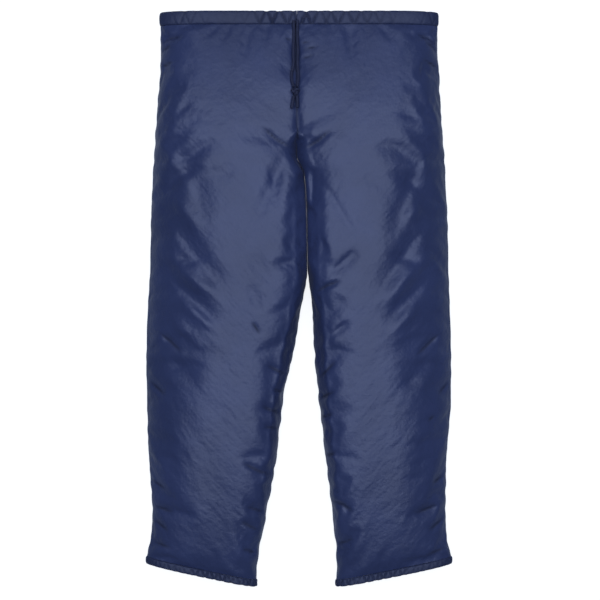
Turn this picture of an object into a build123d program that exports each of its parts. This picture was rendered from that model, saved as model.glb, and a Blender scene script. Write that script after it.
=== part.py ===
"""Padded chainsaw over-trousers with a drawcord waist, lying on their back with the front up.

+Y runs to the waist, +Z is the front of the garment, and the wearer's right leg is at -X.
The origin is under the middle of the garment, on the surface that it lies on.
"""

from build123d import *
from dataclasses import dataclass, replace
import math
import os

os.makedirs("parts", exist_ok=True)

# ---------------------------------------------------------------- lengths along the garment
WAIST_Y = 539.0             # top fold of the waist casing
CASING_HEIGHT = 26.0        # waist casing, fold to seam
SEAT_MID_Y = 430.0          # where the seat has started to fill out
SEAT_LOW_Y = 330.0          # where the seat reaches its full fullness
HIP_Y = 260.0               # crease where a leg folds up against the seat
LEG_GAP_Y = 58.0            # where the two legs part
KNEE_Y = -113.0             # crease behind the knee pad
CALF_Y = -299.0
ANKLE_OUTER_Y = -438.0      # the leg starts to slant towards its hem here
ANKLE_INNER_Y = -466.0
HEM_OUTER_Y = -495.0        # the hem is cut on a slant, longer at the inseam
HEM_INNER_Y = -539.0
HEM_HEIGHT = 14.0           # hem casing, fold to seam

# ---------------------------------------------------------------- widths
CENTRE_X = -4.0             # centre-front and centre-back seam
LEG_PART_X = 12.0           # plane in which the two legs lie against each other
WAIST_HALF = 261.0
SEAT_MID_HALF = 262.0
SEAT_LOW_HALF = 269.0
HIP_HALF = 273.0
THIGH_HALF = 281.0
KNEE_HALF = 288.0
CALF_HALF_RIGHT = 283.0
CALF_HALF_LEFT = 277.0
ANKLE_HALF = 279.0
HEM_HALF = 287.0
RIGHT_INSEAM_X = {"knee": -15.0, "calf": -43.0, "ankle": -68.0, "hem": -82.0}
LEFT_INSEAM_X = {"gap": 18.0, "knee": 30.0, "calf": 50.0, "ankle": 66.0, "hem": 71.0}

# ---------------------------------------------------------------- fullness, lying flat
SEAM_Z = 20.0               # height of the side seams and inseams
WAIST_TOP = 50.0            # thickness of the garment at the waist casing
SEAT_MID_TOP = 80.0
SEAT_LOW_TOP = 98.0
HIP_TOP = 100.0
KNEE_TOP = 92.0
CALF_TOP = 85.0
ANKLE_TOP = 66.0
HEM_TOP = 50.0
FRONT_ROLL_OUTER = 90.0     # width over which the front rolls down to the side seam
FRONT_ROLL_INNER = 50.0     # the same at the inseam
BACK_ROLL_OUTER = 40.0      # width over which the back rolls up to the side seam
BACK_ROLL_INNER = 30.0

# ---------------------------------------------------------------- route of the drawcord's strands
# Each point is the x of the edge that faces the other strand, and the distance below the waist:
# from the buttonhole to the knot, then the short ends below the knot.
RIGHT_STRAND = [(-7.2, 20.0), (-6.7, 53.0), (-8.2, 81.0), (-6.8, 107.0), (-13.4, 129.0), (-7.4, 149.0)]
LEFT_STRAND = [(-5.8, 20.0), (-6.2, 53.0), (-4.4, 81.0), (-6.0, 107.0), (-3.1, 129.0), (-5.9, 149.0)]
RIGHT_END = [(-6.8, 165.0), (-9.4, 177.0), (-10.8, 188.0)]
LEFT_END = [(-6.5, 165.0), (-5.0, 177.0), (-6.0, 187.0)]

# ---------------------------------------------------------------- plies and clearances
SHELL_PLY = 1.0
PAD_PLY = 4.5               # half of the protective plies, quilted together
WADDING_PLY = 5.0
LINING_PLY = 1.0
PLY_GAP = 0.3               # air between two plies
SEAM_GAP = 0.3              # between two panels that a seam joins
PART_GAP = 0.6              # between the two legs
HINGE_RISE = 0.5            # fold line above the front face

# ---------------------------------------------------------------- drawcord, casings, label
CORD_DIA = 5.2
CORD_ROOM = 0.9             # round the cord in the waist casing
HEM_CHANNEL = 4.0           # free depth of a hem casing
CORD_EXIT_X = -6.5
CORD_EXIT_BELOW_WAIST = 20.0
BUTTONHOLE_LENGTH = 7.0     # along Y
CORD_EDGE_ROOM = 1.0        # beside the strands in the buttonhole
CORD_TURN_RADIUS = 9.0      # of the cord inside the casing, where it turns to the buttonhole
CORD_REST_GAP = 0.8         # cord above the cloth that it lies on
KNOT_X = -6.65
KNOT_BELOW_WAIST = 157.0
KNOT_LENGTH = 16.0
KNOT_WIDTH = 17.0
KNOT_DEPTH = 11.0
KNOT_FILLET = 2.5
ELASTIC_PLY = 3.0
ELASTIC_WIDTH = 10.0
LABEL_SIZE = (34.0, 22.0, 0.6)
LABEL_X = 60.0
LABEL_BELOW_WAIST = 45.0


@dataclass(frozen=True)
class Station:
    """One cross-section of a tube of cloth, from its low-X end to its high-X end."""

    low: tuple              # x, y
    high: tuple
    top: float
    front_rolls: tuple      # width of the roll at the low and the high end; 0 is a straight cut
    back_rolls: tuple

    def moved(self, dy):
        low = (self.low[0], self.low[1] + dy)
        high = (self.high[0], self.high[1] + dy)
        return replace(self, low=low, high=high)

    def stretch(self):
        run = self.high[0] - self.low[0]
        return math.hypot(run, self.high[1] - self.low[1]) / run

    def plane(self):
        along = Vector(self.high[0] - self.low[0], self.high[1] - self.low[1], 0).normalized()
        normal = along.cross(Vector(0, 0, 1))
        return Plane(origin=(self.low[0], self.low[1], 0), x_dir=along, z_dir=normal)


def section(station, side, outer, inner, seam_gap=SEAM_GAP):
    """Closed outline of one ply, from `outer` to `inner` deep under the garment's outside."""
    up = 1 if side == "front" else -1
    base = SEAM_Z + up * seam_gap / 2
    height = station.top - base if side == "front" else base
    stretch = station.stretch()
    width = (station.high[0] - station.low[0]) * stretch
    rolls = station.front_rolls if side == "front" else station.back_rolls
    low_roll, high_roll = (roll * stretch for roll in rolls)

    def roll_arc(centre, roll, depth, start, turn):
        radii = (roll - depth * stretch, height - depth)
        return EllipticalCenterArc((centre, base), *radii, start, arc_size=turn)

    def ply_face(depth, backwards):
        """Edges of one face of the ply, from the low end to the high end or back."""
        z = base + up * (height - depth)
        crown = 90 if up > 0 else 270
        run = [(low_roll, z), (width - high_roll, z)]
        edges = [Line(*(reversed(run) if backwards else run))]
        turn = 90 * up if backwards else -90 * up
        if low_roll:
            start = crown if backwards else 180
            low_arc = roll_arc(low_roll, low_roll, depth, start, turn)
            edges.insert(len(edges) if backwards else 0, low_arc)
        if high_roll:
            start = 0 if backwards else crown
            high_arc = roll_arc(width - high_roll, high_roll, depth, start, turn)
            edges.insert(0 if backwards else len(edges), high_arc)
        return edges

    there = ply_face(outer, backwards=False)
    back = ply_face(inner, backwards=True)
    edges = there + [Line(there[-1] @ 1, back[0] @ 0)] + back + [Line(back[-1] @ 1, there[0] @ 0)]
    return station.plane() * Wire(edges)


def ply(stations, side, outer, inner, seam_gap=SEAM_GAP):
    """One ply of cloth through all the stations."""
    outlines = [section(station, side, outer, inner, seam_gap) for station in stations]
    return Solid.make_loft(outlines, ruled=True)


def save(name, shape):
    shape.label = name
    export_step(shape, f"parts/{name}.step")


# ---------------------------------------------------------------- depths of the plies
def stack(*plies):
    """Outer and inner depth of each named ply, counted in from the outside."""
    depths = {}
    depth = 0.0
    for name, thickness in plies:
        depths[name] = (depth, depth + thickness)
        depth += thickness + PLY_GAP
    return depths


FRONT_PLIES = stack(
    ("front_shell", SHELL_PLY),
    ("pad_outer_plies", PAD_PLY),
    ("pad_inner_plies", PAD_PLY),
    ("front_lining", LINING_PLY),
)
BACK_PLIES = stack(
    ("back_shell", SHELL_PLY),
    ("back_wadding", WADDING_PLY),
    ("back_lining", LINING_PLY),
)
PADS = ("pad_outer_plies", "pad_inner_plies")


# ---------------------------------------------------------------- stations of the garment
def seat_station(side, y, half, top):
    """Half of the seat, from the side seam to the centre seam."""
    seam = CENTRE_X - SEAM_GAP / 2 if side == "right" else CENTRE_X + SEAM_GAP / 2
    if side == "right":
        return Station((-half, y), (seam, y), top, (FRONT_ROLL_OUTER, 0), (BACK_ROLL_OUTER, 0))
    return Station((seam, y), (half, y), top, (0, FRONT_ROLL_OUTER), (0, BACK_ROLL_OUTER))


def leg_station(side, outer_y, half, inner_y, inner_x, top):
    """A whole leg, from the side seam to the inseam."""
    front = (FRONT_ROLL_OUTER, FRONT_ROLL_INNER)
    back = (BACK_ROLL_OUTER, BACK_ROLL_INNER)
    if side == "right":
        return Station((-half, outer_y), (inner_x, inner_y), top, front, back)
    return Station((inner_x, inner_y), (half, outer_y), top, front[::-1], back[::-1])


def seat_stations(side):
    seam_y = WAIST_Y - CASING_HEIGHT - SEAM_GAP / 2
    return [
        seat_station(side, seam_y, WAIST_HALF, WAIST_TOP),
        seat_station(side, SEAT_MID_Y, SEAT_MID_HALF, SEAT_MID_TOP),
        seat_station(side, SEAT_LOW_Y, SEAT_LOW_HALF, SEAT_LOW_TOP),
        seat_station(side, HIP_Y + SEAM_GAP / 2, HIP_HALF, HIP_TOP),
    ]


def thigh_stations(side):
    part = PART_GAP / 2
    meet = LEG_PART_X - part if side == "right" else LEG_PART_X + part
    gap_x = meet if side == "right" else LEFT_INSEAM_X["gap"]
    knee_x = (RIGHT_INSEAM_X if side == "right" else LEFT_INSEAM_X)["knee"]
    hip_y = HIP_Y - SEAM_GAP / 2
    knee_y = KNEE_Y + SEAM_GAP / 2
    return [
        leg_station(side, hip_y, HIP_HALF, hip_y, meet, HIP_TOP),
        leg_station(side, LEG_GAP_Y, THIGH_HALF, LEG_GAP_Y, gap_x, HIP_TOP),
        leg_station(side, knee_y, KNEE_HALF, knee_y, knee_x, KNEE_TOP),
    ]


def shin_stations(side):
    """From the knee to the fold of the hem, which the last station follows on its slant."""
    inseam = RIGHT_INSEAM_X if side == "right" else LEFT_INSEAM_X
    calf_half = CALF_HALF_RIGHT if side == "right" else CALF_HALF_LEFT
    knee_y = KNEE_Y - SEAM_GAP / 2
    return [
        leg_station(side, knee_y, KNEE_HALF, knee_y, inseam["knee"], KNEE_TOP),
        leg_station(side, CALF_Y, calf_half, CALF_Y, inseam["calf"], CALF_TOP),
        leg_station(side, ANKLE_OUTER_Y, ANKLE_HALF, ANKLE_INNER_Y, inseam["ankle"], ANKLE_TOP),
        leg_station(side, HEM_OUTER_Y, HEM_HALF, HEM_INNER_Y, inseam["hem"], HEM_TOP),
    ]


# ---------------------------------------------------------------- seat, thighs and shins
def save_panels(part, side, stations, pad_stations):
    for side_name, plies in (("front", FRONT_PLIES), ("back", BACK_PLIES)):
        for name, (outer, inner) in plies.items():
            through = pad_stations if name in PADS else stations
            save(f"{side}_{part}_{name}", ply(through, side_name, outer, inner))


def save_hem(side, fold):
    """The folded casing round the leg opening, in two panels, and the elastic inside it."""
    seam = fold.moved(HEM_HEIGHT)
    depth = HEM_CHANNEL + 2 * SHELL_PLY
    channel = (SHELL_PLY, SHELL_PLY + HEM_CHANNEL)
    inside = [seam.moved(-SHELL_PLY), fold.moved(SHELL_PLY)]
    for face in ("front", "back"):
        casing = ply([seam, fold], face, 0, depth) - ply(inside, face, *channel)
        save(f"{side}_hem_casing_{face}", casing)

    middle = HEM_HEIGHT / 2
    band = [fold.moved(middle + ELASTIC_WIDTH / 2), fold.moved(middle - ELASTIC_WIDTH / 2)]
    start = SHELL_PLY + (HEM_CHANNEL - ELASTIC_PLY) / 2
    halves = [ply(band, face, start, start + ELASTIC_PLY, 0) for face in ("front", "back")]
    save(f"{side}_hem_elastic", halves[0] + halves[1])


for side in ("right", "left"):
    seat = seat_stations(side)
    thigh = thigh_stations(side)
    knee, calf, ankle, fold = shin_stations(side)
    above_hem = fold.moved(HEM_HEIGHT + SEAM_GAP)
    save_panels("seat", side, seat, seat)
    save_panels("thigh", side, thigh, thigh)
    save_panels("shin", side, [knee, calf, ankle, above_hem], [knee, calf, ankle])
    save_hem(side, fold)


# ---------------------------------------------------------------- waist casing
channel = CORD_DIA + 2 * CORD_ROOM
cord_exit_y = WAIST_Y - CORD_EXIT_BELOW_WAIST


def whole_waist_station(y):
    rolls = (FRONT_ROLL_OUTER, FRONT_ROLL_OUTER), (BACK_ROLL_OUTER, BACK_ROLL_OUTER)
    return Station((-WAIST_HALF, y), (WAIST_HALF, y), WAIST_TOP, *rolls)


def waist_panel(face, station_at):
    """One panel of the hollow casing, open at its side seams and at the centre front."""
    fold_y, seam_y = WAIST_Y, WAIST_Y - CASING_HEIGHT
    outside = [station_at(fold_y), station_at(seam_y)]
    inside = [station_at(fold_y - SHELL_PLY), station_at(seam_y + SHELL_PLY)]
    solid = ply(outside, face, 0, channel + 2 * SHELL_PLY)
    return solid - ply(inside, face, SHELL_PLY, SHELL_PLY + channel)


strand_gap = LEFT_STRAND[0][0] - RIGHT_STRAND[0][0]
buttonhole_width = strand_gap + 2 * (CORD_DIA + CORD_EDGE_ROOM)
buttonhole = Pos(CORD_EXIT_X, cord_exit_y, WAIST_TOP) * Box(
    buttonhole_width, BUTTONHOLE_LENGTH, 2 * SHELL_PLY + channel
)
for side in ("right", "left"):
    panel = waist_panel("front", lambda y: seat_station(side, y, WAIST_HALF, WAIST_TOP))
    save(f"waist_casing_front_{side}", panel - buttonhole)
save("waist_casing_back", waist_panel("back", whole_waist_station))

# ---------------------------------------------------------------- drawcord inside the casing
cord_depth = SHELL_PLY + channel / 2
cord_y = WAIST_Y - CASING_HEIGHT / 2
cord_end_y = cord_exit_y - BUTTONHOLE_LENGTH / 2 + CORD_EDGE_ROOM
casing_cord_z = WAIST_TOP - cord_depth


def roll_of_cord(sign, roll, height, start, turn):
    """The cord's bend round one side of the waist, front or back."""
    centre = (sign * (WAIST_HALF - roll), SEAM_Z)
    arc = EllipticalCenterArc(centre, roll - cord_depth, height - cord_depth, start, arc_size=turn)
    return Plane((0, cord_y, 0), x_dir=(1, 0, 0), z_dir=(0, -1, 0)) * arc


front_height = WAIST_TOP - SEAM_Z
rolls = [
    roll_of_cord(-1, FRONT_ROLL_OUTER, front_height, 90, 90),
    roll_of_cord(-1, BACK_ROLL_OUTER, SEAM_Z, 180, 90),
    roll_of_cord(1, BACK_ROLL_OUTER, SEAM_Z, 270, 90),
    roll_of_cord(1, FRONT_ROLL_OUTER, front_height, 0, 90),
]


def end_of_cord(x, sign):
    """From the buttonhole back into the casing; sign is the way the cord turns along X."""
    end = Vector(x, cord_end_y, casing_cord_z)
    bend = Vector(x, cord_y - CORD_TURN_RADIUS, casing_cord_z)
    along = Vector(x + sign * CORD_TURN_RADIUS, cord_y, casing_cord_z)
    corner = bend + Vector(sign, 0, 0) * CORD_TURN_RADIUS
    middle = corner + Vector(-sign, 1, 0).normalized() * CORD_TURN_RADIUS
    return [Line(end, bend), ThreePointArc(bend, middle, along)]


right_end = end_of_cord(RIGHT_STRAND[0][0] - CORD_DIA / 2, -1)
left_end = end_of_cord(LEFT_STRAND[0][0] + CORD_DIA / 2, 1)
casing_path = Wire([
    *right_end,
    Line(right_end[-1] @ 1, rolls[0] @ 0),
    rolls[0],
    rolls[1],
    Line(rolls[1] @ 1, rolls[2] @ 0),
    rolls[2],
    rolls[3],
    Line(rolls[3] @ 1, left_end[-1] @ 1),
    left_end[-1],
    left_end[0],
])


def tube(path):
    """Round cord along a path, with its volume compared with section times length."""
    start = Plane(path @ 0, z_dir=path % 0)
    solid = sweep(start * Circle(CORD_DIA / 2), path=path)
    share = solid.volume / (math.pi * CORD_DIA**2 / 4 * path.length)
    print(f"cord length {path.length:.1f}, volume against section times length {share:.4f}")
    return solid


save("drawcord_in_casing", tube(casing_path))


# ---------------------------------------------------------------- strands, knot and ends
def front_top(y):
    """Height of the front face on its flat crown."""
    rows = [(station.low[1], station.top) for station in seat_stations("right")]
    for (high_y, high_top), (low_y, low_top) in zip(rows, rows[1:]):
        if y >= low_y:
            share = min(max((high_y - y) / (high_y - low_y), 0), 1)
            return high_top + (low_top - high_top) * share
    return rows[-1][1]


knot_y = WAIST_Y - KNOT_BELOW_WAIST
knot_z = front_top(knot_y - KNOT_LENGTH / 2) + PLY_GAP + KNOT_DEPTH / 2


def strand(name, points, sign, first_z=None, last_z=None):
    """A strand resting on the front, its bends as large as its runs allow.

    Sign is the side of the other strand that it lies on."""
    route = []
    for edge_x, below_waist in points:
        y = WAIST_Y - below_waist
        z = front_top(y) + CORD_DIA / 2 + CORD_REST_GAP
        route.append(Vector(edge_x + sign * CORD_DIA / 2, y, z))
    if first_z is not None:
        route[0].Z = first_z
    if last_z is not None:
        route[-1].Z = last_z
    radii = []
    for before, at, after in zip(route, route[1:], route[2:]):
        half_turn = math.radians((at - before).get_angle(after - at)) / 2
        shorter = min((at - before).length, (after - at).length)
        radii.append(0.45 * shorter / math.tan(half_turn))
    print(name, "radii", [round(radius, 1) for radius in radii])
    save(name, tube(FilletPolyline(*route, radius=radii)))


lie_z = WAIST_TOP + CORD_DIA / 2 + PLY_GAP
strand("drawcord_strand_right", RIGHT_STRAND, -1, lie_z, knot_z)
strand("drawcord_strand_left", LEFT_STRAND, 1, lie_z, knot_z)
strand("drawcord_end_right", RIGHT_END, -1, knot_z)
strand("drawcord_end_left", LEFT_END, 1, knot_z)
knot = Box(KNOT_WIDTH, KNOT_LENGTH, KNOT_DEPTH)
save("drawcord_knot", Pos(KNOT_X, knot_y, knot_z) * fillet(knot.edges(), KNOT_FILLET))

# ---------------------------------------------------------------- blank label inside the back
label_z = BACK_PLIES["back_lining"][1] + PLY_GAP + LABEL_SIZE[2] / 2
save("care_label", Pos(LABEL_X, WAIST_Y - LABEL_BELOW_WAIST, label_z) * Box(*LABEL_SIZE))
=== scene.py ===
import math

import bmesh
import bpy
import numpy as np
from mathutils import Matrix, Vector


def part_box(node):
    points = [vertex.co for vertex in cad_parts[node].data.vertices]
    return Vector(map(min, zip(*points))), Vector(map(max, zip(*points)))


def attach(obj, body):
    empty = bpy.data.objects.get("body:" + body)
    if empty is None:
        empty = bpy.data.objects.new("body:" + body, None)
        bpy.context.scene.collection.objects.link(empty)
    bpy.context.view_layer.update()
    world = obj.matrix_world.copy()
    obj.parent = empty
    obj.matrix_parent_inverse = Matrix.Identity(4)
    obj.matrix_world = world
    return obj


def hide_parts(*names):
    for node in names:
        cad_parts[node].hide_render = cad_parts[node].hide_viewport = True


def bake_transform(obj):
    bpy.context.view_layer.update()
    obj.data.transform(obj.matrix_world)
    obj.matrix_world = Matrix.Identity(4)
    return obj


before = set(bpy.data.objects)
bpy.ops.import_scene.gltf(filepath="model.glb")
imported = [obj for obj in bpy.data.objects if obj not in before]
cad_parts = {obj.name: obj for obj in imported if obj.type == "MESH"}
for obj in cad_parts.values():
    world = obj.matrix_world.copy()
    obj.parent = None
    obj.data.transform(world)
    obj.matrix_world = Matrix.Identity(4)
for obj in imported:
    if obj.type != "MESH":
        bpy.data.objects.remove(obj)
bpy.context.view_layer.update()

# ------------------------------------------------------------------ the garment's outline, metres
# Each row of a side: y and x at the side seam, y and x at the centre seam or inseam, and the
# height of the front. Rows run from the waist seam to the hem seam.
CENTRE_X = -0.004
RIGHT_ROWS = [
    (0.513, -0.2605, 0.513, CENTRE_X, 0.050),
    (0.470, -0.2605, 0.470, CENTRE_X, 0.066),
    (0.430, -0.2610, 0.430, CENTRE_X, 0.080),
    (0.372, -0.2660, 0.372, CENTRE_X, 0.093),
    (0.312, -0.2700, 0.312, CENTRE_X, 0.099),
    (0.268, -0.2730, 0.270, -0.0050, 0.100),
    (0.232, -0.2755, 0.232, 0.0095, 0.100),
    (0.150, -0.2790, 0.150, 0.0140, 0.100),
    (0.058, -0.2810, 0.058, 0.0152, 0.100),
    (-0.030, -0.2860, -0.030, 0.0020, 0.097),
    (-0.113, -0.2880, -0.113, -0.0149, 0.092),
    (-0.187, -0.2867, -0.187, -0.0290, 0.090),
    (-0.299, -0.2830, -0.299, -0.0430, 0.085),
    (-0.400, -0.2758, -0.411, -0.0630, 0.074),
    (-0.452, -0.2800, -0.478, -0.0755, 0.064),
    (-0.482, -0.2865, -0.525, -0.0805, 0.052),
]
LEFT_ROWS = [
    (0.513, 0.2605, 0.513, CENTRE_X, 0.050),
    (0.470, 0.2605, 0.470, CENTRE_X, 0.066),
    (0.430, 0.2620, 0.430, CENTRE_X, 0.080),
    (0.372, 0.2660, 0.372, CENTRE_X, 0.093),
    (0.312, 0.2700, 0.312, CENTRE_X, 0.099),
    (0.268, 0.2735, 0.270, -0.0050, 0.100),
    (0.232, 0.2755, 0.232, 0.0101, 0.100),
    (0.150, 0.2800, 0.150, 0.0146, 0.100),
    (0.058, 0.2820, 0.058, 0.0160, 0.100),
    (-0.030, 0.2850, -0.030, 0.0260, 0.097),
    (-0.113, 0.2870, -0.113, 0.0305, 0.092),
    (-0.187, 0.2865, -0.187, 0.0370, 0.090),
    (-0.299, 0.2780, -0.299, 0.0500, 0.085),
    (-0.400, 0.2758, -0.411, 0.0630, 0.074),
    (-0.452, 0.2790, -0.478, 0.0700, 0.064),
    (-0.482, 0.2865, -0.525, 0.0705, 0.052),
]
ROWS = {"right": RIGHT_ROWS, "left": LEFT_ROWS}
CROTCH_ROW = 5              # the row in which the four panels meet
SEAT_ROW = 4                # above it, the panels of both sides are sewn along the centre
SEAM_Z = 0.020              # height of the side seams and inseams
# Width over which the front rolls down to the side seam, at places down the garment.
FRONT_ROLLS = [(-0.513, 0.090), (-0.450, 0.062), (-0.330, 0.066), (-0.180, 0.130), (0.060, 0.142),
               (0.250, 0.110), (0.500, 0.090)]
# The same at the inseam.
INSEAM_ROLLS = [(-0.513, 0.050), (-0.300, 0.040), (-0.200, 0.022), (0.250, 0.016), (0.420, 0.024),
                (0.500, 0.050)]
BACK_ROLL = 0.040           # width over which the back rolls up to the side seam
BACK_INSEAM_ROLL = 0.030
LEAST_ROLL = 0.004          # the narrowest roll at an inseam, for the deepest layers
# Share of a panel's columns in its side roll and in its inseam roll.
FRONT_SHARES = (0.40, 0.20)
BACK_SHARES = (0.17, 0.14)
CROTCH_TOP = 0.262          # the inseam lies higher around here, where four panels meet
CROTCH_RISE = 0.036
CROTCH_REACH = 0.050
SIDE_PUCKER = 0.0004        # how far the stitches draw each seam in and out
INSEAM_PUCKER = 0.0007
PUCKER_PITCH = 0.047
PUCKER_DRIFT_PITCH = 0.130

SPLIT_Y = 0.070             # where an upper and a lower piece meet, on the thigh
STEP = 0.0066               # spacing of the cloth's points along the leg
SWELL_ROOM = 0.003          # the cloth starts this much inside its final size
LAYER_LEAD = 2.2            # a layer parts for the legs higher up, by this share of its depth


def smooth_curve(places, values, at):
    """Monotone cubic through the values, so that an outline has no bump between its rows."""
    places, values, at = (np.asarray(a, float) for a in (places, values, at))
    slopes = np.diff(values) / np.diff(places)
    tangents = np.zeros(len(values))
    tangents[0], tangents[-1] = slopes[0], slopes[-1]
    for i in range(1, len(values) - 1):
        if slopes[i - 1] * slopes[i] > 0:
            tangents[i] = 2 * slopes[i - 1] * slopes[i] / (slopes[i - 1] + slopes[i])
    i = np.clip(np.searchsorted(places, at) - 1, 0, len(places) - 2)
    width = places[i + 1] - places[i]
    t = (at - places[i]) / width
    return (
        (2 * t**3 - 3 * t**2 + 1) * values[i]
        + (t**3 - 2 * t**2 + t) * width * tangents[i]
        + (3 * t**2 - 2 * t**3) * values[i + 1]
        + (t**3 - t**2) * width * tangents[i + 1]
    )


def ease(low, high, value):
    """0 below low, 1 above high, and a smooth step between them."""
    t = np.clip((value - low) / (high - low), 0, 1)
    return t * t * (3 - 2 * t)


def pucker(along, seed):
    """The uneven in and out of a seam that draws up padded cloth, from -1 to 1."""
    drift = 1.4 * np.sin(2 * math.pi * along / PUCKER_DRIFT_PITCH + seed)
    return np.sin(2 * math.pi * along / PUCKER_PITCH + drift + seed)


def row_places(side):
    """Place of each listed row along the garment: the mean of its two ends, downwards."""
    rows = np.array(ROWS[side])
    return -(rows[:, 0] + rows[:, 2]) / 2


def panel_points(side, face, across, along, depth=0.0):
    """Points of one panel on a grid. across runs 0 to 1 from the side seam to the inner seam,
    along is the place down the garment, and depth is how far inside the cloth they lie."""
    rows, places = np.array(ROWS[side]), row_places(side)
    y_out, x_out, y_in, x_in, top = (smooth_curve(places, rows[:, k], along) for k in range(5))
    sign = 1 if side == "left" else -1
    inset = depth - SWELL_ROOM
    early = np.maximum(inset, 0.0) * LAYER_LEAD
    opened = ease(places[SEAT_ROW] - early, places[CROTCH_ROW] - early, along)
    parted = ease(places[CROTCH_ROW], places[CROTCH_ROW] + 0.02, along)
    x_out = x_out + sign * SIDE_PUCKER * pucker(along, 0.7) * ease(places[1], places[4], along)
    x_in = x_in - sign * INSEAM_PUCKER * pucker(along, 2.1) * ease(0.02, 0.10, along)
    x_out = x_out - sign * inset
    x_in = x_in + sign * inset * parted
    width = np.abs(x_out - x_in)
    front = face == "front"
    outer_roll = (smooth_curve(*zip(*FRONT_ROLLS), along) if front else BACK_ROLL) - inset
    inner_roll = (smooth_curve(*zip(*INSEAM_ROLLS), along) if front else BACK_INSEAM_ROLL) - inset
    inner_roll = np.maximum(inner_roll, LEAST_ROLL) * opened**0.6 + 1e-5
    seam_z = np.full_like(along, SEAM_Z)
    crown = top - depth if front else np.full_like(along, depth)
    inseam_z = SEAM_Z + CROTCH_RISE * np.exp(-(((y_in - CROTCH_TOP) / CROTCH_REACH) ** 2))
    inner_z = crown + (inseam_z - crown) * opened

    share_out, share_in = FRONT_SHARES if front else BACK_SHARES
    lead = np.clip(across / share_out, 0, 1) * math.pi / 2
    tail = np.clip((1 - across) / share_in, 0, 1) * math.pi / 2
    middle = np.clip((across - share_out) / (1 - share_out - share_in), 0, 1)
    run = np.where(
        across < share_out,
        outer_roll * (1 - np.cos(lead)),
        np.where(
            across > 1 - share_in,
            width - inner_roll * (1 - np.cos(tail)),
            outer_roll + (width - outer_roll - inner_roll) * middle,
        ),
    )
    z = np.where(
        across < share_out,
        seam_z + (crown - seam_z) * np.sin(lead),
        np.where(across > 1 - share_in, inner_z + (crown - inner_z) * np.sin(tail), crown),
    )
    share = run / width
    x = x_out - sign * run
    y = y_out + (y_in - y_out) * share
    return np.stack([x, y, z], axis=-1)


def even_rows(side, first, last, step):
    """Places along the garment, evenly spaced, with a row exactly at the crotch."""
    crotch = row_places(side)[CROTCH_ROW]
    if first < crotch < last:
        above = np.linspace(first, crotch, max(int((crotch - first) / step), 2))
        below = np.linspace(crotch, last, max(int((last - crotch) / step), 2))
        return np.concatenate([above, below[1:]])
    return np.linspace(first, last, max(int((last - first) / step), 2))


def grid_mesh(name, points):
    """A grid of cloth through rows and columns of points, with each vertex's row and column."""
    rows, columns = points.shape[:2]
    bm = bmesh.new()
    bmesh.ops.create_grid(bm, x_segments=columns - 1, y_segments=rows - 1, size=1)
    mesh = bpy.data.meshes.new(name)
    bm.to_mesh(mesh)
    bm.free()
    start = np.empty(rows * columns * 3)
    mesh.vertices.foreach_get("co", start)
    start = start.reshape(-1, 3)
    column = np.rint((start[:, 0] + 1) / 2 * (columns - 1)).astype(int)
    row = np.rint((start[:, 1] + 1) / 2 * (rows - 1)).astype(int)
    mesh.vertices.foreach_set("co", points[row, column].ravel())
    return mesh, row, column


# ------------------------------------------------------------------ materials
def shader(name):
    """A new material and its node tree's helper functions."""
    material = bpy.data.materials.new(name)
    material.use_nodes = True
    tree = material.node_tree
    surface = tree.nodes["Principled BSDF"]

    def node(kind, inputs=None, **settings):
        made = tree.nodes.new(kind)
        for key, value in settings.items():
            setattr(made, key, value)
        for key, value in (inputs or {}).items():
            if isinstance(value, bpy.types.NodeSocket):
                tree.links.new(value, made.inputs[key])
            else:
                made.inputs[key].default_value = value
        return made

    return material, tree, surface, node


def ramp(node, value, stops):
    """A colour ramp through (place, colour) stops."""
    made = node("ShaderNodeValToRGB", {"Fac": value})
    elements = made.color_ramp.elements
    for place, colour in stops[2:]:
        elements.new(place)
    for element, (place, colour) in zip(elements, stops):
        element.position = place
        element.color = (*colour, 1)
    return made.outputs["Color"]


def bump(node, height, strength, distance, below=None):
    """A bump of the height, laid over the normal below it."""
    inputs = {"Height": height, "Strength": strength, "Distance": distance}
    if below is not None:
        inputs["Normal"] = below
    return node("ShaderNodeBump", inputs).outputs["Normal"]


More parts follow.
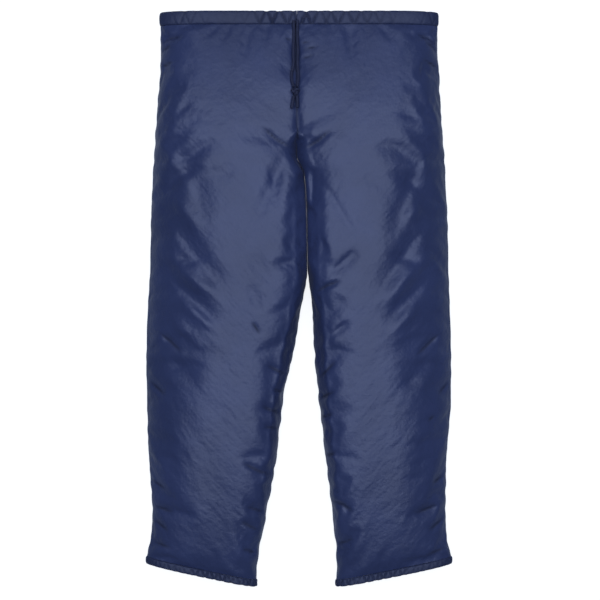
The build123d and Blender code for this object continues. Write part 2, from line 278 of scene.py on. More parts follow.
def nylon(name, shade, light, roughness=0.45):
    """Woven nylon taffeta: a fine plain weave, crinkles and drag lines, a satin gloss, and painted
    shade, with more roughness, in the bottom of each sharp crease."""
    material, tree, surface, node = shader(name)
    place = node("ShaderNodeTexCoord").outputs["Object"]
    crinkle = node(
        "ShaderNodeTexNoise", {"Vector": place, "Scale": 95.0, "Detail": 3.0, "Roughness": 0.55}
    )
    ripple = node(
        "ShaderNodeTexNoise", {"Vector": place, "Scale": 26.0, "Detail": 3.0, "Roughness": 0.6}
    )
    # the drag lines slant on both legs alike, so their pattern is mirrored at the centre
    split = node("ShaderNodeSeparateXYZ", {"Vector": place})
    aside = node("ShaderNodeMath", {0: split.outputs["X"]}, operation="ABSOLUTE")
    across = node(
        "ShaderNodeCombineXYZ",
        {"X": aside.outputs["Value"], "Y": split.outputs["Y"], "Z": split.outputs["Z"]},
    )
    slanted = node(
        "ShaderNodeMapping",
        {"Vector": across.outputs["Vector"], "Rotation": (0, 0, -0.75), "Scale": (1.0, 3.2, 1.0)},
        vector_type="TEXTURE",
    )
    drag = node(
        "ShaderNodeTexNoise",
        {"Vector": slanted.outputs["Vector"], "Scale": 21.0, "Detail": 3.0, "Roughness": 0.6},
    )
    mottle = node(
        "ShaderNodeTexNoise", {"Vector": place, "Scale": 9.0, "Detail": 4.0, "Roughness": 0.6}
    )
    warp = node("ShaderNodeTexWave", {"Vector": place, "Scale": 420.0}, bands_direction="X")
    weft = node("ShaderNodeTexWave", {"Vector": place, "Scale": 420.0}, bands_direction="Y")
    weave = node(
        "ShaderNodeMath", {0: warp.outputs["Fac"], 1: weft.outputs["Fac"]}, operation="MULTIPLY"
    )
    colour = ramp(node, mottle.outputs["Fac"], [(0.35, shade), (0.65, light)])
    # painted shade: the crease mask darkens the base colour towards a quarter of the shade colour, and
    # makes it rougher, in the bottom of each sharp crease
    crease_shade = node("ShaderNodeAttribute", attribute_name="crease_shade").outputs["Fac"]
    dark = node("ShaderNodeMath", {0: crease_shade, 1: 0.75}, operation="MULTIPLY").outputs["Value"]
    mix = node("ShaderNodeMix", data_type="RGBA")
    tree.links.new(dark, mix.inputs[0])
    tree.links.new(colour, mix.inputs[6])
    mix.inputs[7].default_value = (*(0.25 * c for c in shade), 1)
    tree.links.new(mix.outputs[2], surface.inputs["Base Color"])
    matt = node("ShaderNodeMath", {0: dark, 1: 0.5, 2: roughness}, operation="MULTIPLY_ADD")
    tree.links.new(matt.outputs["Value"], surface.inputs["Roughness"])
    surface.inputs["Specular IOR Level"].default_value = 0.6
    normal = bump(node, drag.outputs["Fac"], 0.6, 0.0062)
    normal = bump(node, ripple.outputs["Fac"], 0.45, 0.0020, normal)
    normal = bump(node, crinkle.outputs["Fac"], 0.5, 0.0020, normal)
    normal = bump(node, weave.outputs["Value"], 0.25, 0.00012, normal)
    tree.links.new(normal, surface.inputs["Normal"])
    surface.inputs["Specular Tint"].default_value = (0.62, 0.72, 1.0, 1)
    surface.inputs["Sheen Weight"].default_value = 0.12
    surface.inputs["Sheen Roughness"].default_value = 0.4
    surface.inputs["Sheen Tint"].default_value = (0.55, 0.62, 0.9, 1)
    return material


def plain_cloth(name, shade, light, scale, depth, roughness=0.9):
    """Matt knit, wadding or braid, with a lumpy texture of one scale."""
    material, tree, surface, node = shader(name)
    place = node("ShaderNodeTexCoord").outputs["Object"]
    lumps = node("ShaderNodeTexVoronoi", {"Vector": place, "Scale": scale})
    mottle = node("ShaderNodeTexNoise", {"Vector": place, "Scale": scale / 12, "Detail": 3.0})
    colour = ramp(node, mottle.outputs["Fac"], [(0.35, shade), (0.65, light)])
    tree.links.new(colour, surface.inputs["Base Color"])
    tree.links.new(bump(node, lumps.outputs["Distance"], 0.5, depth), surface.inputs["Normal"])
    surface.inputs["Roughness"].default_value = roughness
    return material


SHELL = nylon("navy_nylon_taffeta", (0.021, 0.0345, 0.116), (0.027, 0.0432, 0.142), 0.39)
# the casing is the shell's own nylon, given a darker colour as painted shade of its tight gathers
SHADED_CASING = nylon("navy_nylon_casing", (0.012, 0.020, 0.072), (0.016, 0.026, 0.088), 0.55)
LINING = nylon("navy_lining_taffeta", (0.012, 0.017, 0.045), (0.016, 0.022, 0.056), 0.55)
KNIT = plain_cloth("protective_knit", (0.62, 0.58, 0.42), (0.72, 0.69, 0.54), 900.0, 0.0006)
WADDING = plain_cloth("polyester_wadding", (0.72, 0.72, 0.70), (0.82, 0.82, 0.80), 350.0, 0.0015)
BRAID = plain_cloth("drawcord_braid", (0.007, 0.014, 0.056), (0.012, 0.021, 0.076), 1400.0, 0.0005, 0.8)
ELASTIC = plain_cloth("ribbed_elastic", (0.66, 0.66, 0.63), (0.76, 0.76, 0.73), 1100.0, 0.0003)
LABEL = plain_cloth("woven_label", (0.62, 0.62, 0.60), (0.70, 0.70, 0.68), 1600.0, 0.0001)


# ------------------------------------------------------------------ folds pressed into the cloth
CREASE_CORE = 0.0026        # widest bottom of a crease
SHARP_WIDTH = 0.0075        # a furrow narrower than this is a crease, which gets painted shade inside
FOLD_FADE = (0.002, 0.030)  # heights above the seams between which the folds set in


def stroke(points, centre_line, width, depth, ends=0.25, skew=0.0):
    """Height to add to points near a line in plan: a furrow, or a ridge where depth is negative.
    It fades out over a share of the line at each end, and skew leans one wall. The second
    result is 1 along the bottom of a furrow."""
    line = np.asarray(centre_line, float)
    lengths = np.linalg.norm(np.diff(line, axis=0), axis=1)
    reach = np.concatenate([[0], np.cumsum(lengths)]) / lengths.sum()
    best = np.full(len(points), 1e9)
    where = np.zeros(len(points))
    side_of = np.zeros(len(points))
    for i, (a, b) in enumerate(zip(line, line[1:])):
        along = np.clip((points - a) @ (b - a) / ((b - a) @ (b - a)), 0, 1)
        offset = points - (a + along[:, None] * (b - a))
        distance = np.linalg.norm(offset, axis=1)
        cross = (b - a)[0] * offset[:, 1] - (b - a)[1] * offset[:, 0]
        nearer = distance < best
        best = np.where(nearer, distance, best)
        where = np.where(nearer, reach[i] + along * (reach[i + 1] - reach[i]), where)
        side_of = np.where(nearer, np.sign(cross), side_of)
    fade = ease(0, ends, np.minimum(where, 1 - where))
    spread = width * (1 + skew * side_of)
    core = np.zeros(len(points))
    if depth > 0:
        core = np.exp(-((best / min(0.45 * width, CREASE_CORE)) ** 2))
    return -depth * fade * np.exp(-((best / spread) ** 2)), fade * core


# Furrows of the front in plan: the line, then width, depth, fading share and lean.
# A negative depth is a ridge.
CENTRE_FOLDS = [
    ([(-0.004, 0.520), (-0.004, 0.360), (-0.002, 0.290)], 0.0045, 0.0022, 0.05, 0.0),
    ([(-0.004, 0.345), (0.000, 0.308), (-0.002, 0.300)], 0.0075, 0.0045, 0.45, 0.0),
    ([(0.001, 0.300), (0.006, 0.286)], 0.0090, 0.0060, 0.40, 0.0),
    ([(-0.070, 0.320), (-0.042, 0.294), (-0.012, 0.277)], 0.0042, 0.0040, 0.35, -0.2),
    ([(0.060, 0.314), (0.036, 0.292), (0.010, 0.277)], 0.0050, 0.0060, 0.30, 0.2),
    ([(-0.025, 0.325), (-0.012, 0.292)], 0.0080, -0.0025, 0.40, 0.0),
    ([(0.035, 0.330), (0.018, 0.298)], 0.0080, -0.0025, 0.40, 0.0),
    ([(-0.026, 0.486), (-0.014, 0.480)], 0.0038, 0.0026, 0.40, 0.0),
    ([(0.004, 0.474), (0.018, 0.478)], 0.0036, 0.0016, 0.40, 0.0),
    ([(0.006, 0.462), (0.040, 0.470)], 0.0036, 0.0014, 0.40, 0.0),
    ([(0.004, 0.446), (0.030, 0.452)], 0.0036, 0.0018, 0.40, 0.0),
]
RIGHT_FOLDS = [
    # creases at the hip
    ([(-0.262, 0.478), (-0.240, 0.488), (-0.218, 0.490)], 0.0050, 0.0050, 0.30, 0.0),
    ([(-0.262, 0.462), (-0.236, 0.474)], 0.0050, 0.0035, 0.40, 0.0),
    ([(-0.260, 0.434), (-0.232, 0.441)], 0.0045, 0.0035, 0.40, 0.0),
    # slanting folds down the thigh and over the knee
    ([(-0.235, 0.300), (-0.190, 0.215), (-0.165, 0.135)], 0.0160, 0.0045, 0.40, 0.3),
    ([(-0.238, 0.195), (-0.200, 0.150), (-0.170, 0.118)], 0.0120, -0.0045, 0.40, 0.0),
    ([(-0.240, 0.150), (-0.185, 0.078), (-0.120, -0.006)], 0.0150, 0.0065, 0.35, 0.3),
    ([(-0.252, 0.096), (-0.205, 0.044), (-0.145, -0.002)], 0.0120, -0.0065, 0.35, 0.0),
    ([(-0.250, 0.050), (-0.200, 0.004), (-0.140, -0.058)], 0.0130, 0.0060, 0.35, 0.3),
    ([(-0.225, 0.004), (-0.145, -0.062)], 0.0100, -0.0045, 0.40, 0.0),
    ([(-0.240, -0.030), (-0.170, -0.098)], 0.0100, -0.0040, 0.40, 0.0),
    ([(-0.262, -0.060), (-0.238, -0.078), (-0.214, -0.100)], 0.0050, 0.0045, 0.35, 0.0),
    ([(-0.250, -0.100), (-0.180, -0.160)], 0.0120, 0.0035, 0.40, 0.0),
    # soft dents above the knee
    ([(-0.100, 0.088), (-0.066, 0.046), (-0.034, 0.020)], 0.0140, 0.0030, 0.40, 0.2),
    ([(-0.094, 0.036), (-0.070, -0.026)], 0.0110, 0.0028, 0.40, 0.2),
    ([(-0.088, -0.038), (-0.070, -0.066)], 0.0060, 0.0022, 0.40, 0.0),
    ([(-0.054, 0.268), (-0.045, 0.215), (-0.038, 0.150)], 0.0130, 0.0034, 0.45, 0.4),
    # puckers along the inseam
    ([(-0.062, -0.120), (-0.022, -0.140)], 0.0060, 0.0045, 0.40, 0.3),
    ([(-0.050, -0.165), (-0.028, -0.172)], 0.0055, 0.0045, 0.40, 0.3),
    ([(-0.072, -0.196), (-0.032, -0.212)], 0.0060, 0.0050, 0.40, 0.3),
    ([(-0.066, -0.234), (-0.036, -0.240)], 0.0055, 0.0040, 0.40, 0.3),
    ([(-0.106, -0.300), (-0.072, -0.318), (-0.050, -0.326)], 0.0060, 0.0060, 0.35, 0.3),
    ([(-0.100, -0.382), (-0.062, -0.396)], 0.0060, 0.0045, 0.40, 0.3),
    ([(-0.112, -0.408), (-0.070, -0.432)], 0.0060, 0.0045, 0.40, 0.3),
    ([(-0.108, -0.462), (-0.076, -0.474)], 0.0055, 0.0045, 0.40, 0.3),
    # puckers along the side seam
    ([(-0.282, -0.150), (-0.244, -0.180)], 0.0070, 0.0040, 0.40, 0.0),
    ([(-0.282, -0.334), (-0.244, -0.354)], 0.0065, 0.0050, 0.40, 0.0),
    ([(-0.276, -0.384), (-0.230, -0.396)], 0.0065, 0.0045, 0.40, 0.0),
    ([(-0.278, -0.408), (-0.240, -0.432)], 0.0065, 0.0050, 0.40, 0.0),
    ([(-0.280, -0.452), (-0.235, -0.462)], 0.0060, 0.0035, 0.40, 0.0),
]
LEFT_FOLDS = [
    # creases at the hip
    ([(0.218, 0.494), (0.240, 0.488), (0.262, 0.472)], 0.0050, 0.0050, 0.30, 0.0),
    ([(0.234, 0.480), (0.250, 0.472), (0.262, 0.458)], 0.0050, 0.0040, 0.35, 0.0),
    ([(0.228, 0.446), (0.262, 0.432)], 0.0045, 0.0035, 0.40, 0.0),
    # slanting folds down the thigh and over the knee
    ([(0.235, 0.290), (0.196, 0.190), (0.162, 0.085)], 0.0150, 0.0050, 0.40, -0.3),
    ([(0.226, 0.178), (0.196, 0.140)], 0.0110, -0.0045, 0.40, 0.0),
    ([(0.240, 0.150), (0.190, 0.078), (0.128, -0.008)], 0.0150, 0.0065, 0.35, -0.3),
    ([(0.250, 0.094), (0.200, 0.042), (0.152, -0.020)], 0.0120, -0.0065, 0.35, 0.0),
    ([(0.250, 0.050), (0.205, 0.004), (0.150, -0.056)], 0.0130, 0.0060, 0.35, -0.3),
    ([(0.228, -0.004), (0.158, -0.074)], 0.0100, -0.0045, 0.40, 0.0),
    ([(0.264, -0.060), (0.240, -0.082), (0.214, -0.106)], 0.0050, 0.0045, 0.35, 0.0),
    ([(0.250, -0.100), (0.185, -0.170)], 0.0120, 0.0035, 0.40, 0.0),
    # soft dents above the knee
    ([(0.112, 0.096), (0.078, 0.064), (0.052, 0.044)], 0.0120, 0.0050, 0.35, 0.3),
    ([(0.080, 0.036), (0.052, 0.026), (0.026, 0.010)], 0.0050, 0.0060, 0.35, 0.2),
    ([(0.084, 0.010), (0.056, -0.028)], 0.0150, 0.0040, 0.40, 0.0),
    ([(0.096, -0.036), (0.056, -0.068)], 0.0080, 0.0045, 0.40, 0.3),
    ([(0.024, 0.250), (0.026, 0.200), (0.024, 0.160)], 0.0110, 0.0090, 0.30, 0.5),
    # puckers along the inseam
    ([(0.070, -0.110), (0.034, -0.150)], 0.0070, 0.0045, 0.40, -0.3),
    ([(0.066, -0.168), (0.036, -0.186)], 0.0060, 0.0045, 0.40, -0.3),
    ([(0.064, -0.210), (0.040, -0.220)], 0.0055, 0.0040, 0.40, -0.3),
    ([(0.070, -0.282), (0.048, -0.292)], 0.0055, 0.0045, 0.40, -0.3),
    ([(0.104, -0.396), (0.082, -0.380), (0.058, -0.374)], 0.0060, 0.0045, 0.40, 0.3),
    ([(0.104, -0.442), (0.066, -0.460)], 0.0060, 0.0050, 0.40, -0.3),
    # puckers along the side seam
    ([(0.284, -0.150), (0.256, -0.178)], 0.0070, 0.0040, 0.40, 0.0),
    ([(0.252, -0.214), (0.238, -0.226)], 0.0055, 0.0030, 0.40, 0.0),
    ([(0.278, -0.324), (0.244, -0.344)], 0.0065, 0.0050, 0.40, 0.0),
    ([(0.262, -0.380), (0.212, -0.398)], 0.0065, 0.0045, 0.40, 0.0),
    ([(0.276, -0.404), (0.238, -0.432)], 0.0065, 0.0050, 0.40, 0.0),
    ([(0.278, -0.462), (0.236, -0.476)], 0.0060, 0.0035, 0.40, 0.0),
]
FOLDS = CENTRE_FOLDS + RIGHT_FOLDS + LEFT_FOLDS

LEG_GAP = 0.00012           # room on each side of the plane where the two legs meet
LEG_PUSH = 0.005            # how far the cloth beside it is pressed over
LEG_PUSH_REACH = 0.012
# Places down the garment between which the gap opens, and the push sets in and ends.
GAP_START = (-0.300, -0.262)
PUSH_START = (-0.268, -0.240)
PUSH_END = (-0.075, -0.045)


def keep_apart(points, side, depth=0.0):
    """Presses a leg flat against the other one where they touch between the thighs."""
    rows = np.array(ROWS[side])
    other = np.array(ROWS["left" if side == "right" else "right"])
    middle = (rows[:, 3] + other[:, 3]) / 2
    touch = smooth_curve(-rows[:, 2], middle, -points[..., 1])
    sign = 1 if side == "left" else -1
    down = -points[..., 1]
    room = (LEG_GAP + depth) * ease(*GAP_START, down)
    between = ease(*PUSH_START, down) * (1 - ease(*PUSH_END, down))
    reach = np.abs(points[..., 0] - touch)
    push = LEG_PUSH * between * np.exp(-((reach / LEG_PUSH_REACH) ** 2))
    pushed = points[..., 0] - sign * push
    limit = touch + sign * room
    held = points.copy()
    held[..., 0] = np.maximum(pushed, limit) if sign > 0 else np.minimum(pushed, limit)
    return held


def press_folds(points):
    """Pushes the front's points down into the furrows and up over the ridges, and gives how far each
    point lies in the bottom of a sharp crease, from 0 to 1: the mask where the material paints shade."""
    plan = points[:, :2]
    rise = np.zeros(len(points))
    crease_shade = np.zeros(len(points))
    for line, width, depth, ends, skew in FOLDS:
        height, core = stroke(plan, line, width, depth, ends, skew)
        rise += height
        if width < SHARP_WIDTH:
            crease_shade = np.maximum(crease_shade, core)
    front = ease(SEAM_Z + FOLD_FADE[0], SEAM_Z + FOLD_FADE[1], points[:, 2])
    moved = points.copy()
    moved[:, 2] += rise * front
    return moved, crease_shade * front


# ------------------------------------------------------------------ the four panels of the shell
PANELS = [("right", "front"), ("right", "back"), ("left", "front"), ("left", "back")]
FRONT_COLUMNS, BACK_COLUMNS = 53, 43
NEAR_SEAM = 6               # the cloth has spare width and length this many points in from a seam


def panel_grid(side, face, depth, step, columns):
    """All of one panel's points, from the waist seam to the hem seam."""
    places = row_places(side)
    along = even_rows(side, places[0], places[-1], step)
    across = np.linspace(0, 1, columns)
    return np.stack([panel_points(side, face, a, along, depth) for a in across], axis=1)


def shell_cloth():
    """One welded cloth of all four panels; each face's material index is its panel."""
    bm = bmesh.new()
    for index, (side, face) in enumerate(PANELS):
        columns = FRONT_COLUMNS if face == "front" else BACK_COLUMNS
        points = panel_grid(side, face, SWELL_ROOM, STEP, columns)
        mesh, row, column = grid_mesh("panel", points)
        seam = (row == 0) | (row == row.max()) | (column == 0) | (column == columns - 1)
        inset = np.minimum(column, columns - 1 - column)
        inset = np.minimum(inset, np.minimum(row, row.max() - row))
        mesh.attributes.new("seam", "FLOAT", "POINT").data.foreach_set("value", seam.astype(float))
        near = np.clip(1 - inset / NEAR_SEAM, 0, 1)
        mesh.attributes.new("near", "FLOAT", "POINT").data.foreach_set("value", near)
        for name, value in (("panel", np.full(len(row), index)), ("row", row), ("column", column)):
            mesh.attributes.new(name, "FLOAT", "POINT").data.foreach_set("value", value.astype(float))
        for polygon in mesh.polygons:
            polygon.material_index = index
        bm.from_mesh(mesh)
        bpy.data.meshes.remove(mesh)
    bmesh.ops.remove_doubles(bm, verts=bm.verts, dist=0.0001)
    bmesh.ops.recalc_face_normals(bm, faces=bm.faces)
    if max(bm.faces, key=lambda f: f.calc_center_median().z).normal.z < 0:
        bmesh.ops.reverse_faces(bm, faces=bm.faces)
    mesh = bpy.data.meshes.new("shell_cloth")
    bm.to_mesh(mesh)
    bm.free()
    return mesh


def coordinates(mesh):
    """A mesh's vertices, one row of x, y and z each."""
    points = np.empty(len(mesh.vertices) * 3)
    mesh.vertices.foreach_get("co", points)
    return points.reshape(-1, 3)


def attribute(mesh, name):
    """A point attribute's values."""
    values = np.empty(len(mesh.vertices))
    mesh.attributes[name].data.foreach_get("value", values)
    return values


SWELL_FRAMES = 18


def swell(mesh):
    """Blows the cloth out against its seams, so that it wrinkles as a padded garment does."""
    start = coordinates(mesh)
    seam, near = attribute(mesh, "seam"), attribute(mesh, "near")
    piece = bpy.data.objects.new("swelling", mesh)
    bpy.context.collection.objects.link(piece)
    pinned = piece.vertex_groups.new(name="pinned")
    slack = piece.vertex_groups.new(name="slack")
    for i in np.nonzero(seam)[0]:
        pinned.add([int(i)], 1.0, "REPLACE")
    for i in np.nonzero(near)[0]:
        slack.add([int(i)], float(near[i]), "REPLACE")
    cloth = piece.modifiers.new("cloth", "CLOTH")
    settings = cloth.settings
    settings.quality = 6
    settings.mass = 0.25
    settings.tension_stiffness = 25
    settings.compression_stiffness = 25
    settings.shear_stiffness = 12
    settings.bending_stiffness = 1.2
    settings.use_pressure = True
    settings.uniform_pressure_force = 5.0
    settings.vertex_group_mass = "pinned"
    settings.pin_stiffness = 1.0
    settings.vertex_group_shrink = "slack"
    settings.shrink_min = -0.012
    settings.shrink_max = -0.07
    settings.effector_weights.gravity = 0
    cloth.collision_settings.use_collision = False
    cloth.collision_settings.use_self_collision = False
    scene = bpy.context.scene
    cloth.point_cache.frame_end = SWELL_FRAMES + 1
    for number in range(1, SWELL_FRAMES + 1):
        scene.frame_set(number)
    evaluated = piece.evaluated_get(bpy.context.evaluated_depsgraph_get())
    blown = coordinates(evaluated.data).copy()
    piece.modifiers.remove(cloth)
    scene.frame_set(1)
    bpy.data.objects.remove(piece)
    mesh.vertices.foreach_set("co", blown.ravel())
    mesh.update()


FLOOR_GAP = 0.0002
FLOOR_SOFTNESS = 0.004      # height over which the underside flattens


def rest_on_floor(points):
    """Presses the underside flat on the surface that the garment lies on."""
    z = points[:, 2]
    soft = FLOOR_SOFTNESS
    flattened = np.where(z < soft, soft * np.exp((z - soft) / soft), z)
    pressed = points.copy()
    pressed[:, 2] = np.maximum(flattened - soft * math.exp(-1 - SWELL_ROOM / soft), FLOOR_GAP)
    return pressed


def applied(piece):
    """A new mesh of a piece as its modifiers or its curve make it."""
    evaluated = piece.evaluated_get(bpy.context.evaluated_depsgraph_get())
    return bpy.data.meshes.new_from_object(evaluated)


def dense(mesh):
    """One subdivision, applied."""
    piece = bpy.data.objects.new("dense", mesh)
    bpy.context.collection.objects.link(piece)
    rounding = piece.modifiers.new("rounding", "SUBSURF")
    rounding.levels = 1
    rounding.render_levels = 1
    result = applied(piece)
    bpy.data.objects.remove(piece)
    return result


def finish_piece(name, mesh, material):
    """A smooth piece of one material."""
    mesh.materials.clear()
    mesh.materials.append(material)
    mesh.polygons.foreach_set("material_index", np.zeros(len(mesh.polygons), int))
    mesh.polygons.foreach_set("use_smooth", np.ones(len(mesh.polygons), bool))
    piece = bpy.data.objects.new(name, mesh)
    bpy.context.collection.objects.link(piece)
    return piece


def thicken(piece, thickness):
    """Gives the cloth its thickness inwards, as applied geometry."""
    wall = piece.modifiers.new("thickness", "SOLIDIFY")
    wall.thickness = thickness
    wall.offset = -1.0
    wall.use_even_offset = False
    mesh = applied(piece)
    piece.modifiers.clear()
    piece.data = mesh


def bend_with_body(piece, part):
    """Bakes the piece's placement into its mesh, the same for an upper and a lower piece."""
    if part == "upper":
        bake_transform(piece)
    else:
        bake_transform(piece)


def replaced_nodes(side, part, layer):
    """The CAD nodes of a layer that an upper or a lower piece stands for."""
    if part == "upper":
        return [f"{side}_seat_{layer}", f"{side}_thigh_{layer}"]
    return [f"{side}_shin_{layer}"]


SHELL_THICKNESS = 0.001


def shell_pieces(cloth):
    """Cuts the shell at its seams and across the thighs, keeping the whole cloth's shading."""
    normals = np.empty(len(cloth.vertices) * 3)
    cloth.vertices.foreach_get("normal", normals)
    normals = normals.reshape(-1, 3)
    for axis in range(3):
        layer = cloth.attributes.new(f"shade_{axis}", "FLOAT", "POINT")
        layer.data.foreach_set("value", np.ascontiguousarray(normals[:, axis]))
    for index, (side, face) in enumerate(PANELS):
        for part in ("upper", "lower"):
            bm = bmesh.new()
            bm.from_mesh(cloth)
            dropped = [
                f for f in bm.faces
                if f.material_index != index
                or (f.calc_center_median().y < SPLIT_Y) == (part == "upper")
            ]
            bmesh.ops.delete(bm, geom=dropped, context="FACES")
            mesh = bpy.data.meshes.new(f"{side}_{part}_{face}_shell")
            bm.to_mesh(mesh)
            bm.free()
            piece = finish_piece(mesh.name, mesh, SHELL)
            count = len(mesh.vertices)
            thicken(piece, SHELL_THICKNESS)
            keep_shading(piece.data, count)
            bend_with_body(piece, part)
            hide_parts(*replaced_nodes(side, part, f"{face}_shell"))


def keep_shading(mesh, outer_count):
    """Shades the outer and inner skins with the whole cloth's normals, so no cut shows."""
    shade = np.stack([attribute(mesh, f"shade_{axis}") for axis in range(3)], axis=1)
    loops = np.empty(len(mesh.loops), int)
    mesh.loops.foreach_get("vertex_index", loops)
    wanted = shade[loops]
    wanted[loops >= outer_count] *= -1
    for polygon in mesh.polygons:
        corners = list(polygon.loop_indices)
        kinds = loops[corners] >= outer_count
        if kinds.any() and not kinds.all():
            wanted[corners] = polygon.normal
    wanted /= np.maximum(np.linalg.norm(wanted, axis=1), 1e-9)[:, None]
    mesh.normals_split_custom_set(wanted)


def blurred(field, passes):
    """The field smoothed over its grid, with its edges left as they are."""
    for _ in range(passes):
        middle = field[1:-1, 1:-1]
        around = field[:-2, 1:-1] + field[2:, 1:-1] + field[1:-1, :-2] + field[1:-1, 2:]
        field = field.copy()
        field[1:-1, 1:-1] = middle / 2 + around / 8
    return field


SWELL_KEPT = 0.30           # share of the broad swelling that is kept
WRINKLES_KEPT = 1.5         # the same for the wrinkles, which are made a little deeper
MOST_MOVED = 0.009
BROAD_PASSES = 50           # rounds of smoothing that leave only the broad swelling
LAYER_PASSES = 4            # rounds of smoothing of the swelling that the layers follow


def swollen_points(cloth, start):
    """The blown cloth's points, with its broad swelling held back and its wrinkles kept, and
    the held swelling of each panel on the panel's own grid, for the layers under it."""
    moved = coordinates(cloth) - start
    panel, row, column = (
        attribute(cloth, name).astype(int) for name in ("panel", "row", "column")
    )
    points = start.copy()
    fields = {}
    for index, place in enumerate(PANELS):
        own = panel == index
        columns = FRONT_COLUMNS if place[1] == "front" else BACK_COLUMNS
        field = np.zeros((row[own].max() + 2, columns, 3))
        field[row[own], column[own]] = moved[own]
        broad = blurred(field, BROAD_PASSES)
        kept = SWELL_KEPT * broad + WRINKLES_KEPT * (field - broad)
        length = np.linalg.norm(kept, axis=2)
        kept *= (MOST_MOVED * np.tanh(length / MOST_MOVED) / np.maximum(length, 1e-9))[..., None]
        points[own] += kept[row[own], column[own]]
        fields[place] = blurred(kept, LAYER_PASSES)
    return points, fields


def make_shell():
    """The eight shell pieces. Gives the swelling that the layers under them follow."""
    cloth = shell_cloth()
    start = coordinates(cloth)
    swell(cloth)
    points, fields = swollen_points(cloth, start)
    panel = attribute(cloth, "panel")
    for index, (side, face) in enumerate(PANELS):
        own = panel == index
        points[own] = keep_apart(points[own], side)
    points = rest_on_floor(points)
    cloth.vertices.foreach_set("co", points.ravel())
    cloth.update()
    cloth = dense(cloth)
    points, crease_shade = press_folds(coordinates(cloth))
    # the mask of painted shade in the sharp creases, which the shell's material darkens
    cloth.attributes.new("crease_shade", "FLOAT", "POINT").data.foreach_set("value", crease_shade)
    cloth.vertices.foreach_set("co", points.ravel())
    cloth.update()
    shell_pieces(cloth)
    return fields


def follow(points, field, side, along, across):
    """Moves a layer's points as the shell over them moved."""
    places = row_places(side)
    rows = even_rows(side, places[0], places[-1], STEP)
    r = np.interp(along, rows, np.arange(len(rows)))[:, None]
    c = (across * (field.shape[1] - 1))[None, :]
    r0, c0 = np.floor(r).astype(int), np.floor(c).astype(int)
    r1, c1 = np.minimum(r0 + 1, len(rows) - 1), np.minimum(c0 + 1, field.shape[1] - 1)
    fr, fc = (r - r0)[..., None], (c - c0)[..., None]
    upper = field[r0, c0] * (1 - fc) + field[r0, c1] * fc
    lower = field[r1, c0] * (1 - fc) + field[r1, c1] * fc
    return points + upper * (1 - fr) + lower * fr


# Under each face: the layer, its depth below the shell's outside, its thickness and finish.
LAYERS = {
    "front": [
        ("pad_outer_plies", 0.0068, 0.0030, KNIT, "protective_knit"),
        ("pad_inner_plies", 0.0102, 0.0030, KNIT, "protective_knit"),
        ("front_lining", 0.0136, 0.0008, LINING, "lining"),
    ],
    "back": [
        ("back_wadding", 0.0025, 0.0038, WADDING, "wadding"),
        ("back_lining", 0.0066, 0.0008, LINING, "lining"),
    ],
}
LAYER_STEP = 0.009
LAYER_COLUMNS = 31
LAYER_EDGE = 0.004          # share of the width that is left free at each seam
CROTCH_Y = 0.274            # the layers lie deeper around it, under the valley between the legs
CROTCH_DIP = 0.014
CROTCH_DIP_REACH = 0.028


def make_layers(fields):
    """The plies under the shell, each a panel that follows the shell at its own depth."""
    for side, face in PANELS:
        for layer, depth, thickness, material, slot in LAYERS[face]:
            places = row_places(side)
            for part, first, last in (
                ("upper", places[0], -SPLIT_Y),
                ("lower", -SPLIT_Y, places[-1]),
            ):
                along = even_rows(side, first, last, LAYER_STEP)
                across = np.linspace(LAYER_EDGE, 1 - LAYER_EDGE, LAYER_COLUMNS)
                points = [panel_points(side, face, a, along, SWELL_ROOM + depth) for a in across]
                points = follow(np.stack(points, axis=1), fields[side, face], side, along, across)
                points = keep_apart(points, side, depth)
                if face == "front":
                    flat, _ = press_folds(points.reshape(-1, 3))
                    points = flat.reshape(points.shape)
                    reach = np.hypot(points[..., 0] - CENTRE_X, points[..., 1] - CROTCH_Y)
                    points[..., 2] -= CROTCH_DIP * np.exp(-((reach / CROTCH_DIP_REACH) ** 2))
                else:
                    points[..., 2] = np.maximum(points[..., 2], SWELL_ROOM + depth)
                mesh, _, _ = grid_mesh(f"{side}_{part}_{layer}", points)
                piece = finish_piece(mesh.name, mesh, material)
                bm = bmesh.new()
                bm.from_mesh(mesh)
                if (side == "right") == (face == "front"):
                    bmesh.ops.reverse_faces(bm, faces=bm.faces)
                bm.to_mesh(mesh)
                bm.free()
                thicken(piece, thickness)
                bend_with_body(piece, part)
                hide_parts(*replaced_nodes(side, part, layer))


swelling = make_shell()
make_layers(swelling)


# ------------------------------------------------------------------ waist and hem casings
def edge_path(side, face, along, across):
    """Points along one edge of the shell, and the outward direction at each."""
    along = np.array([along])
    points = np.concatenate([panel_points(side, face, a, along, SWELL_ROOM) for a in across])
    tangent = np.gradient(points, axis=0)
    tangent /= np.linalg.norm(tangent, axis=1)[:, None]
    outward = np.cross(tangent, (0.0, 1.0, 0.0))
    outward /= np.linalg.norm(outward, axis=1)[:, None]
    if outward[len(outward) // 2, 2] * (1 if face == "front" else -1) < 0:
        outward *= -1
    return points, outward


def gathers(distance, height, pitch, lean, seed):
    """Tucks of a drawn-up casing, which lean to and fro in a zigzag: 0 in a tuck's bottom and
    1 on the puffs between them. height runs from 0 at the seam to 1 at the fold."""
    nearest = np.full(np.broadcast(distance, height).shape, 1.0)
    first = np.rint(distance / pitch)
    for step in (-1, 0, 1):
        k = first + step
        uneven = 0.28 * np.sin(seed + 2.4 * k + 0.9 * k * k)
        tilt = np.where(k % 2 == 0, 1, -1) * lean * (height - 0.5)
        nearest = np.minimum(nearest, np.abs(distance - pitch * (k + uneven + tilt)))
    return 1 - np.exp(-((nearest / (0.17 * pitch)) ** 2))


CASING_TURN = 20            # points round a casing's section
CASING_SQUARENESS = 0.75    # the section's power: 1 is an ellipse, and less is squarer
CASING_OVERLAP = 0.0024     # how far a casing stands proud of the shell's edge
FULLY_SHADED_TUCK = 0.0040          # depth of a tuck that is fully painted dark inside, as shade
